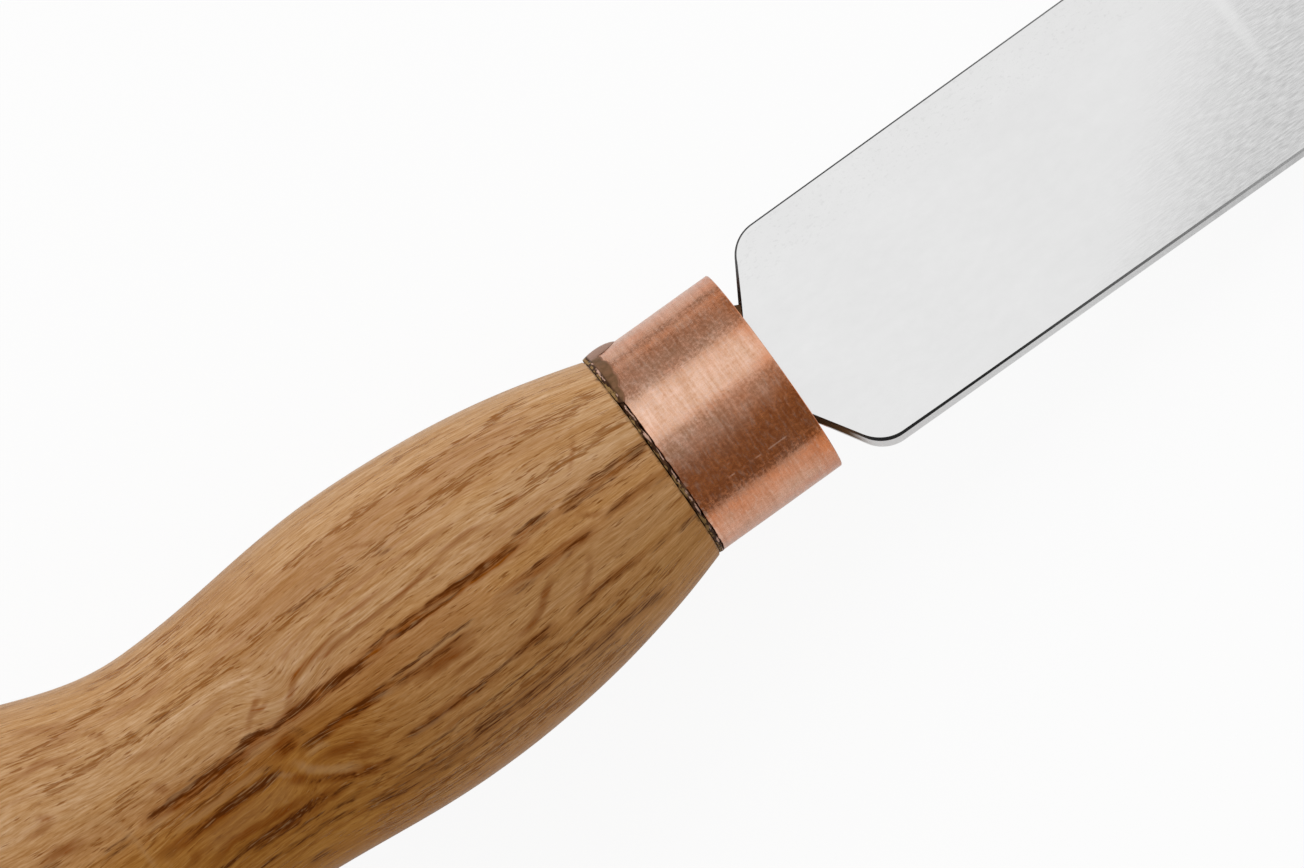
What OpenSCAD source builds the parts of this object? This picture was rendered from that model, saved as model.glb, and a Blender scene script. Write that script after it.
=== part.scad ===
// Flat carving chisel: a forged blade whose tang is bedded in a turned oak handle behind a copper ferrule.
// The tool axis is X, from the butt at X = 0 to the cutting edge. The blade's upper face looks along +Z.

/* [Blade] */
// Width of the blade just in front of its shoulders
blade_w = 20.2; // [16:0.1:30]
// Width of the cutting edge
edge_w = 20.8; // [16:0.1:32]
// Thickness of the blade at its shoulders
blade_t = 3.4; // [2.4:0.1:5]
// Thickness of the blade where the bevel starts
bevel_t = 2.9; // [1.5:0.1:5]
// Thickness left at the cutting edge
edge_t = 0.12; // [0.05:0.01:0.4]
// Length from the ferrule's front rim to the start of the bevel
flat_len = 44.3; // [20:0.1:90]
// Length of the bevel
bevel_len = 12; // [6:0.5:24]
// Length of the straight neck in front of the rim
neck_len = 0.2; // [0.2:0.1:3]
// Width of the neck
neck_w = 9.6; // [7:0.1:12]
// Length of the sloping shoulder, from the neck to the blade's full width
shoulder_len = 3.2; // [2:0.1:8]
// Radius that rounds each shoulder corner
shoulder_r = 3; // [0.5:0.1:4]

/* [Tang] */
// Length of the tang behind the ferrule's front rim
tang_len = 58; // [30:1:80]
// Width of the tang where it enters the wood
tang_w = 6.4; // [4:0.1:8]
// Thickness of the tang where it enters the wood
tang_t = 3; // [2:0.1:4]
// Width of the tang at its tip
tang_tip_w = 3; // [1.5:0.1:6]
// Thickness of the tang at its tip
tang_tip_t = 2; // [1:0.1:3]

/* [Ferrule] */
// Outside diameter of the copper tube
ferrule_d = 18; // [17:0.5:24]
// Wall of the copper tube
ferrule_wall = 1; // [0.6:0.1:1.5]
// Length of the copper tube
ferrule_len = 11.2; // [7:0.1:20]
// Chamfer on the tube's outer rims
rim_chamfer = 0.12; // [0.05:0.01:0.4]

/* [Handle] */
// Length of the wood from its flat butt to the shoulder behind the ferrule
handle_len = 96; // [86:1:130]
// How far the wood's shoulder stands proud of the tube all round
shoulder_proud = 0.1; // [0:0.05:1]
// Diameter of the finger bulb
bulb_d = 25.5; // [22:0.5:32]
// Distance of the bulb's widest point behind the shoulder
bulb_at = 24; // [16:0.5:30]
// Diameter of the waist behind the bulb
waist_d = 23; // [18:0.5:28]
// Distance of the waist behind the shoulder
waist_at = 42; // [36:0.5:48]
// Diameter of the palm swell
palm_d = 34; // [28:0.5:42]
// Distance of the palm swell's widest point behind the shoulder
palm_at = 64; // [54:0.5:72]
// Diameter of the flat at the butt
butt_d = 12; // [4:0.5:20]

/* [Resin] */
// Least resin between the tang's corners and its hole
resin_gap = 0.6; // [0.3:0.1:1.5]
// Depth of resin in front of the wood inside the ferrule's mouth
mouth_depth = 2; // [1:0.1:4]
// How far the resin stops short of the ferrule's front rim
mouth_drop = 0.2; // [0.05:0.05:0.8]
// Height in front of the rim of the resin fillet at each side of the neck
fillet_h = 0.6; // [0.2:0.1:1.5]
// Width of each fillet at the ferrule's mouth
fillet_w = 1.1; // [0.4:0.1:1.6]
// Thickness of each fillet at its feathered front edge
fillet_lip = 0.1; // [0.05:0.01:0.3]
// Resin below the tang's tip at the bottom of its hole
tip_gap = 2; // [0.5:0.5:6]
// Resin film between the tube and the wooden tenon
film_t = 0.2; // [0.1:0.05:0.5]
// Width of the squeezed-out bead between the wood's shoulder and the tube
bead_w = 0.4; // [0.3:0.1:1.5]
// How far the bead stands proud of the tube
bead_proud = 0.08; // [0.05:0.01:0.4]
// Radius of the round lump of resin smeared over the tube's rear rim
smear_r = 7.6; // [4:0.1:8]
// Height of the lump above the tube
smear_h = 0.34; // [0.15:0.01:0.6]
// Place of the lump round the tube, in degrees from +Z towards +Y
smear_angle = 55; // [0:1:359]
// Distance of the lump's middle in front of the tube's rear rim
smear_ahead = 0.5; // [0:0.1:2]
// Hair-line gap between cured resin and what it is bedded against
bond_gap = 0.02; // [0.01:0.01:0.05]

/* [Hidden] */
$fn = 96;

// Places along the tool axis, from the butt forward
shoulder_x = handle_len;
tube_x = shoulder_x + bead_w;
rim_x = tube_x + ferrule_len;
corner_x = rim_x + neck_len + shoulder_len;
bevel_x = rim_x + flat_len;
edge_x = bevel_x + bevel_len;
tenon_x = rim_x - mouth_depth;
tang_x = rim_x - tang_len;
hole_x = tang_x - tip_gap;

// Radii of the fits
tube_r = ferrule_d / 2;
bore_r = tube_r - ferrule_wall;
tenon_r = bore_r - film_t;
hole_r = norm([tang_w, tang_t]) / 2 + resin_gap;

// Drill point at the bottom of the tang hole
drill_half_angle = 59;
drill_tip = hole_r / tan(drill_half_angle);

// Steps along each stretch of the turned profile, and along a shoulder's round
turn_steps = 14;
round_steps = 8;
// How full the wood swells from the shoulder to the bulb, as a power
bulb_fullness = 2.1;
// Overshoot of a cutting solid past the face that it cuts
cut_over = 5;

// Height of the blade's flat back below the tool axis
back_z = -blade_t / 2;

// Lays a solid that was turned about Z along the tool axis
module along_axis() {
    rotate([0, 90, 0]) children();
}

// Eases from a to b with level ends, as t runs from 0 to 1
function ease(a, b, t) = a + (b - a) * (1 - cos(180 * t)) / 2;

// Radius of the turned wood at a distance d behind its shoulder
function wood_r(d) =
    d < bulb_at ? bulb_d / 2 - (bulb_d / 2 - tube_r - shoulder_proud) * pow(1 - d / bulb_at, bulb_fullness)
    : d < waist_at ? ease(bulb_d / 2, waist_d / 2, (d - bulb_at) / (waist_at - bulb_at))
    : d < palm_at ? ease(waist_d / 2, palm_d / 2, (d - waist_at) / (palm_at - waist_at))
    : butt_d / 2 + (palm_d - butt_d) / 2 * sqrt(max(0, 1 - pow((d - palm_at) / (handle_len - palm_at), 2)));

// Distances behind the shoulder at which the profile is turned; the butt's round is stepped by angle
stations = concat(
    [for (i = [0:turn_steps - 1]) bulb_at * i / turn_steps],
    [for (i = [0:turn_steps - 1]) bulb_at + (waist_at - bulb_at) * i / turn_steps],
    [for (i = [0:turn_steps - 1]) waist_at + (palm_at - waist_at) * i / turn_steps],
    [for (i = [0:turn_steps]) palm_at + (handle_len - palm_at) * sin(90 * i / turn_steps)]
);

// Directions of the sloping shoulder and of the blade's long edge in the upper half of the outline
slope_dir = atan2((blade_w - neck_w) / 2, shoulder_len);
edge_dir = atan2((edge_w - blade_w) / 2, edge_x - corner_x);
round_run = shoulder_r * tan((slope_dir - edge_dir) / 2);
round_from = [corner_x, blade_w / 2] - round_run * [cos(slope_dir), sin(slope_dir)];
round_centre = round_from + shoulder_r * [sin(slope_dir), -cos(slope_dir)];

// One half of the blade's outline seen from above, from the tang's tip to the edge; grow widens the tang
function half_outline(grow) = concat(
    [
        [tang_x - grow, tang_tip_w / 2 + grow],
        [tenon_x, tang_w / 2 + grow],
        [rim_x, neck_w / 2 + grow],
        [rim_x + neck_len, neck_w / 2 + grow]
    ],
    [
        for (i = [0:round_steps])
            let (a = 90 + slope_dir + (edge_dir - slope_dir) * i / round_steps)
                round_centre + (shoulder_r + grow) * [cos(a), sin(a)]
    ],
    [[edge_x + grow, edge_w / 2 + grow]]
);

// The blade's outline from above
module blade_outline(grow) {
    upper = half_outline(grow);
    lower = [for (i = [len(upper) - 1:-1:0]) [upper[i][0], -upper[i][1]]];
    polygon(concat(upper, lower));
}

// The blade's outline from the side, with the flat back below and the bevel above
module blade_side(grow) {
    polygon([
        [tang_x - grow, tang_tip_t / 2 + grow],
        [tenon_x, tang_t / 2 + grow],
        [corner_x, back_z + blade_t + grow],
        [bevel_x, back_z + bevel_t + grow],
        [edge_x + grow, back_z + edge_t + grow],
        [edge_x + grow, back_z - grow],
        [corner_x, back_z - grow],
        [tenon_x, -tang_t / 2 - grow],
        [tang_x - grow, -tang_tip_t / 2 - grow]
    ]);
}

// The whole forging; grow gives the cavity that it leaves in the resin
module forging(grow) {
    deep = blade_t + tang_t;
    wide = blade_w + edge_w;
    intersection() {
        translate([0, 0, -deep])
            linear_extrude(2 * deep)
                blade_outline(grow);
        translate([0, wide, 0])
            rotate([90, 0, 0])
                linear_extrude(2 * wide)
                    blade_side(grow);
    }
}

// Steel blade, shoulders, neck and tang, forged in one piece
module blade() {
    color("gainsboro") forging(0);
}

// Copper tube with a lightly broken edge at each rim
module ferrule() {
    color("peru")
        along_axis()
            rotate_extrude()
                polygon([
                    [bore_r, tube_x],
                    [tube_r - rim_chamfer, tube_x],
                    [tube_r, tube_x + rim_chamfer],
                    [tube_r, rim_x - rim_chamfer],
                    [tube_r - rim_chamfer, rim_x],
                    [bore_r, rim_x]
                ]);
}

// Turned oak with a tenon for the ferrule and a drilled hole for the tang
module handle() {
    color("burlywood")
        along_axis()
            difference() {
                rotate_extrude()
                    polygon(concat(
                        [[0, tenon_x], [tenon_r, tenon_x], [tenon_r, shoulder_x]],
                        [for (d = stations) [wood_r(d), shoulder_x - d]],
                        [[0, 0]]
                    ));
                tang_hole(0, cut_over);
            }
}

// The drilled hole along Z, with its drill point; shrink leaves the hair-line gap, over runs past the mouth
module tang_hole(shrink, over) {
    translate([0, 0, hole_x])
        cylinder(h = tenon_x + over - hole_x, r = hole_r - shrink);
    translate([0, 0, hole_x - drill_tip])
        cylinder(h = drill_tip, r1 = 0, r2 = hole_r - shrink);
}

// Resin that climbs the neck's two narrow sides, as a cone cut down to the tang's thickness
module neck_fillets() {
    cone_h = mouth_depth + fillet_h;
    intersection() {
        along_axis()
            translate([0, 0, rim_x - mouth_drop])
                cylinder(h = mouth_drop + fillet_h, r1 = neck_w / 2 + fillet_w, r2 = neck_w / 2 + fillet_lip);
        translate([rim_x, 0, 0])
            cube([2 * cone_h, ferrule_d, tang_t], center = true);
    }
}

// Resin that fills the tang hole and the ferrule's mouth
module tang_bedding() {
    color("saddlebrown")
        difference() {
            union() {
                along_axis() {
                    tang_hole(bond_gap, bond_gap);
                    translate([0, 0, tenon_x + bond_gap])
                        cylinder(h = mouth_depth - mouth_drop - bond_gap, r = bore_r - bond_gap);
                }
                neck_fillets();
            }
            forging(bond_gap);
        }
}

// The lump of resin on the tube's rear rim, part of a ball that rises smear_h above the tube
module smear() {
    rotate([-smear_angle, 0, 0])
        translate([tube_x + smear_ahead, 0, tube_r + smear_h - smear_r])
            sphere(r = smear_r);
}

// Resin film under the tube, its squeezed-out bead behind the tube, and the smear over the rear rim
module ferrule_glue() {
    film_in = tenon_r + bond_gap;
    film_out = bore_r - bond_gap;
    bead_from = shoulder_x + bond_gap;
    bead_to = tube_x - bond_gap;
    color("sienna") {
        along_axis()
            rotate_extrude()
                polygon([
                    [film_in, bead_from],
                    [tube_r - bead_proud, bead_from],
                    [tube_r + bead_proud, (bead_from + bead_to) / 2],
                    [tube_r - bead_proud, bead_to],
                    [film_out, bead_to],
                    [film_out, tenon_x],
                    [film_in, tenon_x]
                ]);
        difference() {
            smear();
            along_axis() {
                translate([0, 0, bead_to])
                    cylinder(h = ferrule_len + 2 * smear_r, r = tube_r + bond_gap);
                translate([0, 0, bead_from - 2 * smear_r])
                    cylinder(h = 2 * smear_r, r = ferrule_d);
                cylinder(h = rim_x, r = tube_r - bead_proud);
            }
        }
    }
}

blade();
ferrule();
handle();
tang_bedding();
ferrule_glue();
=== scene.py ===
"""Looks of a flat carving chisel: turned oak, copper tube, ground steel and cured resin."""

import math

import bmesh
import bpy
import numpy as np
from mathutils import Matrix, Vector


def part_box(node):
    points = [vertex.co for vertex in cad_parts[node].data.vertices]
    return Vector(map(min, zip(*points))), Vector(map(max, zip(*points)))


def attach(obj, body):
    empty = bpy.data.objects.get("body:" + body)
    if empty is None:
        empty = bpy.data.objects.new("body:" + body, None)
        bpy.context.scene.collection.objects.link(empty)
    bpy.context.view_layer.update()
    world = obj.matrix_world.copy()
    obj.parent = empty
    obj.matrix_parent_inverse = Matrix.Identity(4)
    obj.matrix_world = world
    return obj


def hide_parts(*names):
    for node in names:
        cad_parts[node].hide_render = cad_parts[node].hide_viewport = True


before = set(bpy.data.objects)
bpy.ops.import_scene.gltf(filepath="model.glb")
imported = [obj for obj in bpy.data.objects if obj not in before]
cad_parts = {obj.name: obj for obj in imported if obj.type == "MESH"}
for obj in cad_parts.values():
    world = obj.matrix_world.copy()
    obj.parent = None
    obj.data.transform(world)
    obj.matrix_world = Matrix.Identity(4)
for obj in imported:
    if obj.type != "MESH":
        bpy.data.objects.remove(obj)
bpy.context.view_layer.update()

MM = 0.001
FULL_TURN = 2 * math.pi

# Places and radii that the frame gives, in metres
handle_low, handle_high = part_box("handle")
tube_low, tube_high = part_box("ferrule")
blade_low, blade_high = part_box("blade")
glue_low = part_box("ferrule_glue")[0]
bedding_low, bedding_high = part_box("tang_bedding")
BUTT_X = handle_low.x
TENON_X = handle_high.x
PALM_R = handle_high.z
TUBE_X = tube_low.x
RIM_X = tube_high.x
TUBE_R = tube_high.z
TANG_X = blade_low.x
EDGE_X = blade_high.x
EDGE_HALF = blade_high.y
BACK_Z = blade_low.z
FACE_Z = blade_high.z
DRILL_X = bedding_low.x

# Resin fits
BOND_GAP = 0.02 * MM
SHOULDER_X = glue_low.x - BOND_GAP
BORE_R = bedding_high.y + BOND_GAP
FILM = 0.2 * MM
TENON_R = BORE_R - FILM
MOUTH_DROP = 0.2 * MM

# Turned handle, measured back from the shoulder behind the ferrule
WOOD_LEN = SHOULDER_X - BUTT_X
SHOULDER_R = 9.1 * MM
BULB_R = 12.75 * MM
BULB_AT = 24 * MM
BULB_FULLNESS = 2.1
WAIST_R = 11.5 * MM
WAIST_AT = 42 * MM
PALM_AT = 64 * MM
BUTT_R = 6 * MM
HOLE_R = 4.134 * MM
HOLE_X = 47.6 * MM

# Blade and tang
BLADE_HALF = 10.1 * MM
NECK_HALF = 4.8 * MM
NECK_X = RIM_X + 0.2 * MM
CORNER_X = NECK_X + 3.2 * MM
CORNER_ROUND = 3 * MM
BEVEL_X = RIM_X + 44.3 * MM
BEVEL_Z = BACK_Z + 2.9 * MM
EDGE_Z = BACK_Z + 0.12 * MM
TANG_HALF_W, TANG_HALF_T = 3.2 * MM, 1.5 * MM
TIP_HALF_W, TIP_HALF_T = 1.5 * MM, 1.0 * MM

# How the photographed side is turned: rolled about the tool axis, and tipped at the blade end
FACE_ROLL = math.radians(9)
FACE_TIP = math.radians(2.3)


def deselect_all():
    """Leaves edit mode with nothing selected, so that the next operator acts on the new piece alone."""
    if bpy.context.mode != "OBJECT":
        bpy.ops.object.mode_set(mode="OBJECT")
    bpy.ops.object.select_all(action="DESELECT")


def pick(piece):
    """Leaves edit mode and selects one piece alone."""
    deselect_all()
    piece.select_set(True)
    bpy.context.view_layer.objects.active = piece


def draw_outline(name, points):
    """Draws an open outline by extruding one vertex from point to point, and stays in edit mode."""
    deselect_all()
    bpy.ops.mesh.primitive_plane_add(size=MM)
    piece = bpy.context.object
    piece.name = name
    piece.data.name = name
    bpy.ops.object.mode_set(mode="EDIT")
    bpy.ops.mesh.select_mode(type="VERT")
    bpy.ops.mesh.select_all(action="SELECT")
    bpy.ops.mesh.merge(type="CENTER")
    here = Vector(points[0])
    bpy.ops.transform.translate(value=here)
    for point in points[1:]:
        step = Vector(point) - here
        bpy.ops.mesh.extrude_vertices_move(TRANSFORM_OT_translate={"value": step})
        here = Vector(point)
    return piece


def turn_on_axis(name, profile, segments):
    """Turns a profile of (x, radius) points about the tool axis, as on a lathe, and stays in edit mode."""
    piece = draw_outline(name, [(x, 0, radius) for x, radius in profile])
    bpy.ops.mesh.select_all(action="SELECT")
    bpy.ops.mesh.spin(steps=segments, angle=FULL_TURN, center=(0, 0, 0), axis=(1, 0, 0))
    merge_and_face_outwards()
    return piece


def merge_and_face_outwards():
    """Closes seams and poles, and turns all faces outwards."""
    weld = 0.002 * MM
    bpy.ops.mesh.select_all(action="SELECT")
    bpy.ops.mesh.remove_doubles(threshold=weld)
    bpy.ops.mesh.normals_make_consistent(inside=False)


def saw_off(place, outwards):
    """Cuts off what lies beyond a plane, and closes the cut."""
    bpy.ops.mesh.select_all(action="SELECT")
    bpy.ops.mesh.bisect(plane_co=place, plane_no=outwards, clear_outer=True, use_fill=True)


def select_edges(piece, wanted):
    """Selects the edges of a piece in edit mode whose two ends both satisfy wanted(place)."""
    bpy.ops.mesh.select_mode(type="EDGE")
    bpy.ops.mesh.select_all(action="DESELECT")
    shape = bmesh.from_edit_mesh(piece.data)
    for edge in shape.edges:
        edge.select_set(all(wanted(corner.co) for corner in edge.verts))
    bmesh.update_edit_mesh(piece.data)


def select_corners(piece, wanted):
    """Selects the vertices of a piece in edit mode that satisfy wanted(place)."""
    bpy.ops.mesh.select_mode(type="VERT")
    bpy.ops.mesh.select_all(action="DESELECT")
    shape = bmesh.from_edit_mesh(piece.data)
    for corner in shape.verts:
        corner.select_set(wanted(corner.co))
    shape.select_flush_mode()
    bmesh.update_edit_mesh(piece.data)


def girth(place):
    """Distance of a place from the tool axis."""
    return math.hypot(place.y, place.z)


def apply_modifier(piece, kind, **settings):
    """Adds a modifier with these settings and applies it."""
    pick(piece)
    modifier = piece.modifiers.new(kind.lower(), kind)
    for setting, value in settings.items():
        setattr(modifier, setting, value)
    bpy.ops.object.modifier_apply(modifier=modifier.name)


def roughen(piece, name, lump_size, strength, level, depth=1, **settings):
    """Displaces a surface with lumps of about this size; level is the share of them that sinks in."""
    texture = bpy.data.textures.new(name, "CLOUDS")
    texture.noise_scale = lump_size
    texture.noise_depth = depth
    apply_modifier(
        piece, "DISPLACE", texture=texture, texture_coords="LOCAL", strength=strength, mid_level=level,
        **settings,
    )


def vertex_group(piece, name, wanted):
    """Groups the vertices that satisfy wanted(place)."""
    group = piece.vertex_groups.new(name=name)
    group.add([corner.index for corner in piece.data.vertices if wanted(corner.co)], 1.0, "REPLACE")
    return name


def hand_over(piece, node, material):
    """Shades a finished piece, gives it its material, sets it on the root body and hides the part that it
    stands for.
    """
    smooth_angle = math.radians(30)
    pick(piece)
    bpy.ops.object.shade_smooth_by_angle(angle=smooth_angle)
    piece.data.materials.clear()
    piece.data.materials.append(material)
    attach(piece, "root")
    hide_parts(node)


def ease(start, end, share):
    """Runs from start to end with level ends, as share runs from 0 to 1."""
    return start + (end - start) * (1 - math.cos(math.pi * share)) / 2


def wood_radius(behind):
    """Radius of the turned wood at a distance behind its shoulder."""
    if behind < BULB_AT:
        return BULB_R - (BULB_R - SHOULDER_R) * (1 - behind / BULB_AT) ** BULB_FULLNESS
    if behind < WAIST_AT:
        return ease(BULB_R, WAIST_R, (behind - BULB_AT) / (WAIST_AT - BULB_AT))
    if behind < PALM_AT:
        return ease(WAIST_R, PALM_R, (behind - WAIST_AT) / (PALM_AT - WAIST_AT))
    round_share = (behind - PALM_AT) / (WOOD_LEN - PALM_AT)
    return BUTT_R + (PALM_R - BUTT_R) * math.sqrt(max(0.0, 1 - round_share ** 2))


def make_handle():
    """Turns the oak from its tang hole to its butt, with a finer mesh on the photographed half."""
    fine_step, coarse_step = 0.34 * MM, 0.9 * MM
    grip_len = 56 * MM
    butt_steps = 34
    edge_break = 0.12 * MM
    seen_segments, hidden_segments = 365, 56
    distances = list(np.arange(edge_break, grip_len, fine_step))
    distances += list(np.arange(grip_len, PALM_AT, coarse_step))
    for step in range(butt_steps + 1):
        distances.append(PALM_AT + (WOOD_LEN - PALM_AT) * math.sin(math.pi / 2 * step / butt_steps))
    profile = [(DRILL_X, 0), (HOLE_X, HOLE_R), (TENON_X, HOLE_R), (TENON_X, TENON_R)]
    profile += [(SHOULDER_X, TENON_R), (SHOULDER_X, SHOULDER_R - edge_break)]
    profile += [(SHOULDER_X - d, wood_radius(d)) for d in distances]
    profile.append((BUTT_X, 0))
    start_y, start_z = math.cos(FACE_ROLL), math.sin(FACE_ROLL)
    handle = draw_outline("oak_handle", [(x, radius * start_y, radius * start_z) for x, radius in profile])
    bpy.ops.mesh.select_all(action="SELECT")
    for segments in (seen_segments, hidden_segments):
        bpy.ops.mesh.spin(steps=segments, angle=math.pi, center=(0, 0, 0), axis=(-1, 0, 0))
    merge_and_face_outwards()
    roughen(handle, "hand_sanding", 9 * MM, strength=0.07 * MM, level=1.0)
    return handle


def make_ferrule():
    """Cuts a slice of copper tube, with broken rims and the faint dents of handling."""
    rim_break, bore_break = 0.09 * MM, 0.06 * MM
    wall_steps = 44
    outer = [(TUBE_X + (RIM_X - TUBE_X) * i / wall_steps, TUBE_R) for i in range(wall_steps + 1)]
    loop = [(TUBE_X, BORE_R)] + outer + [(RIM_X, BORE_R), (TUBE_X, BORE_R)]
    ferrule = turn_on_axis("copper_ferrule", loop, segments=300)
    at_rim = 0.01 * MM

    def on_rim(place, radius):
        near_end = min(abs(place.x - TUBE_X), abs(place.x - RIM_X))
        return near_end < at_rim and abs(girth(place) - radius) < at_rim

    select_edges(ferrule, lambda place: on_rim(place, TUBE_R))
    bpy.ops.mesh.bevel(offset=rim_break, segments=3, affect="EDGES")
    select_edges(ferrule, lambda place: on_rim(place, BORE_R))
    bpy.ops.mesh.bevel(offset=bore_break, segments=2, affect="EDGES")
    bpy.ops.object.mode_set(mode="OBJECT")
    outside = vertex_group(ferrule, "outside", lambda place: girth(place) > TUBE_R - rim_break)
    roughen(ferrule, "handling_dents", 2.5 * MM, strength=0.03 * MM, level=1.0, vertex_group=outside)
    sawn = vertex_group(ferrule, "sawn_rim", lambda place: place.x < TUBE_X + rim_break)
    roughen(
        ferrule, "saw_marks", 0.7 * MM, strength=0.16 * MM, level=0.3, depth=2,
        direction="X", vertex_group=sawn,
    )
    return ferrule


def resin_smear(name, half_sizes, ahead, degrees, sink):
    """A flattened ball of resin on the tube, in millimetres, at an angle from +Z to +Y."""
    deselect_all()
    angle = math.radians(degrees)
    reach = TUBE_R - sink * MM
    place = (TUBE_X + ahead * MM, reach * math.sin(angle), reach * math.cos(angle))
    bpy.ops.mesh.primitive_uv_sphere_add(segments=96, ring_count=64, radius=1, location=place)
    smear = bpy.context.object
    smear.name = name
    smear.scale = [size * MM for size in half_sizes]
    smear.rotation_euler = (-angle, 0, 0)
    bpy.ops.object.transform_apply(location=True, rotation=True, scale=True)
    roughen(smear, name + "_lumps", 1.6 * MM, strength=0.015 * MM, level=0.5)
    return smear


def combine(piece, other, operation):
    """Adds or cuts another closed piece, and throws that piece away."""
    apply_modifier(piece, "BOOLEAN", operation=operation, object=other, solver="MANIFOLD")
    bpy.data.objects.remove(other, do_unlink=True)


def round_cutter(start, end, radius):
    """A plain round bar on the tool axis, to cut resin away."""
    deselect_all()
    bpy.ops.mesh.primitive_cylinder_add(
        vertices=300, radius=radius, depth=end - start,
        location=((start + end) / 2, 0, 0), rotation=(0, math.pi / 2, 0),
    )
    cutter = bpy.context.object
    bpy.ops.object.transform_apply(location=True, rotation=True, scale=True)
    return cutter


def make_squeeze_out():
    """The resin film under the tube, its bead in the joint and the smear over the rear rim."""
    bead_from, bead_to = SHOULDER_X + BOND_GAP, TUBE_X - BOND_GAP
    film_in, film_out = TENON_R + BOND_GAP, BORE_R - BOND_GAP
    bead_foot, bead_rise = TUBE_R - 0.06 * MM, 0.06 * MM
    bead_skin = 0.02 * MM
    behind_bead = 4 * MM
    bead_steps = 8
    loop = [(TENON_X, film_in), (bead_from, film_in)]
    for step in range(bead_steps + 1):
        share = step / bead_steps
        x = bead_from + (bead_to - bead_from) * share
        loop.append((x, bead_foot + bead_rise * math.sin(math.pi * share)))
    loop += [(bead_to, film_out), (TENON_X, film_out), (TENON_X, film_in)]
    resin = turn_on_axis("squeezed_resin", loop, segments=640)
    bpy.ops.object.mode_set(mode="OBJECT")
    showing = vertex_group(resin, "showing", lambda place: girth(place) > bead_foot - bead_skin)
    roughen(resin, "bead_lumps", 0.9 * MM, strength=0.36 * MM, level=0.58, depth=3, vertex_group=showing)
    # Name, half sizes, distance ahead of the rear rim, angle, and depth of the middle under the tube's skin
    drops = [
        ("thin_smear", (1.0, 1.6, 0.3), 0.15, 50, 0.14),
        ("upper_smear", (0.9, 1.4, 0.3), 0.05, 62, 0.14),
        ("middle_smear", (0.95, 1.5, 0.28), 0.1, 41, 0.14),
        ("lower_smear", (0.6, 1.3, 0.24), 0, 31, 0.12),
        ("rim_lump", (2.0, 2.0, 0.8), 0.75, 81, 0.42),
    ]
    film, *others = [resin_smear(*drop) for drop in drops]
    for other in others:
        combine(film, other, "UNION")
    combine(film, round_cutter(TUBE_X - BOND_GAP, RIM_X, TUBE_R + BOND_GAP / 4), "DIFFERENCE")
    combine(film, round_cutter(bead_from - behind_bead, bead_from, 2 * TUBE_R), "DIFFERENCE")
    combine(resin, film, "UNION")
    return resin


def blade_stations():
    """Places along the forging as (x, half width, top, bottom), from the tang's tip to past the edge."""
    past_edge = EDGE_X + 4 * MM
    slope = math.atan2(BLADE_HALF - NECK_HALF, CORNER_X - NECK_X)
    flare = math.atan2(EDGE_HALF - BLADE_HALF, EDGE_X - CORNER_X)
    run = CORNER_ROUND * math.tan((slope - flare) / 2)
    centre_x = CORNER_X - run * math.cos(slope) + CORNER_ROUND * math.sin(slope)
    centre_y = BLADE_HALF - run * math.sin(slope) - CORNER_ROUND * math.cos(slope)
    taper = (BEVEL_Z - FACE_Z) / (BEVEL_X - CORNER_X)
    rise = (FACE_Z - TANG_HALF_T) / (CORNER_X - TENON_X)
    round_steps = 14

    def top_at(x):
        if x > CORNER_X:
            return FACE_Z + taper * (x - CORNER_X)
        return TANG_HALF_T + rise * (x - TENON_X)

    def bottom_at(x):
        return max(BACK_Z, -TANG_HALF_T - rise * (x - TENON_X))

    stations = [(TANG_X, TIP_HALF_W, TIP_HALF_T, -TIP_HALF_T)]
    stations.append((TENON_X, TANG_HALF_W, TANG_HALF_T, -TANG_HALF_T))
    for x in (RIM_X, NECK_X):
        stations.append((x, NECK_HALF, top_at(x), bottom_at(x)))
    slope_run = centre_x - CORNER_ROUND * math.sin(slope) - NECK_X
    for share in (0.25, 0.5, 0.75):
        x = NECK_X + slope_run * share
        stations.append((x, NECK_HALF + math.tan(slope) * slope_run * share, top_at(x), bottom_at(x)))
    for step in range(round_steps + 1):
        angle = math.pi / 2 + slope + (flare - slope) * step / round_steps
        x = centre_x + CORNER_ROUND * math.cos(angle)
        y = centre_y + CORNER_ROUND * math.sin(angle)
        stations.append((x, y, top_at(x), bottom_at(x)))
    past_half = EDGE_HALF + math.tan(flare) * (past_edge - EDGE_X)
    for ahead in (1.5 * MM, 3 * MM, 5 * MM, 8 * MM):
        stations.append((x + ahead, y + math.tan(flare) * ahead, top_at(x + ahead), bottom_at(x + ahead)))
    stations.append((past_edge, past_half, top_at(past_edge), BACK_Z))
    return stations


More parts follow.
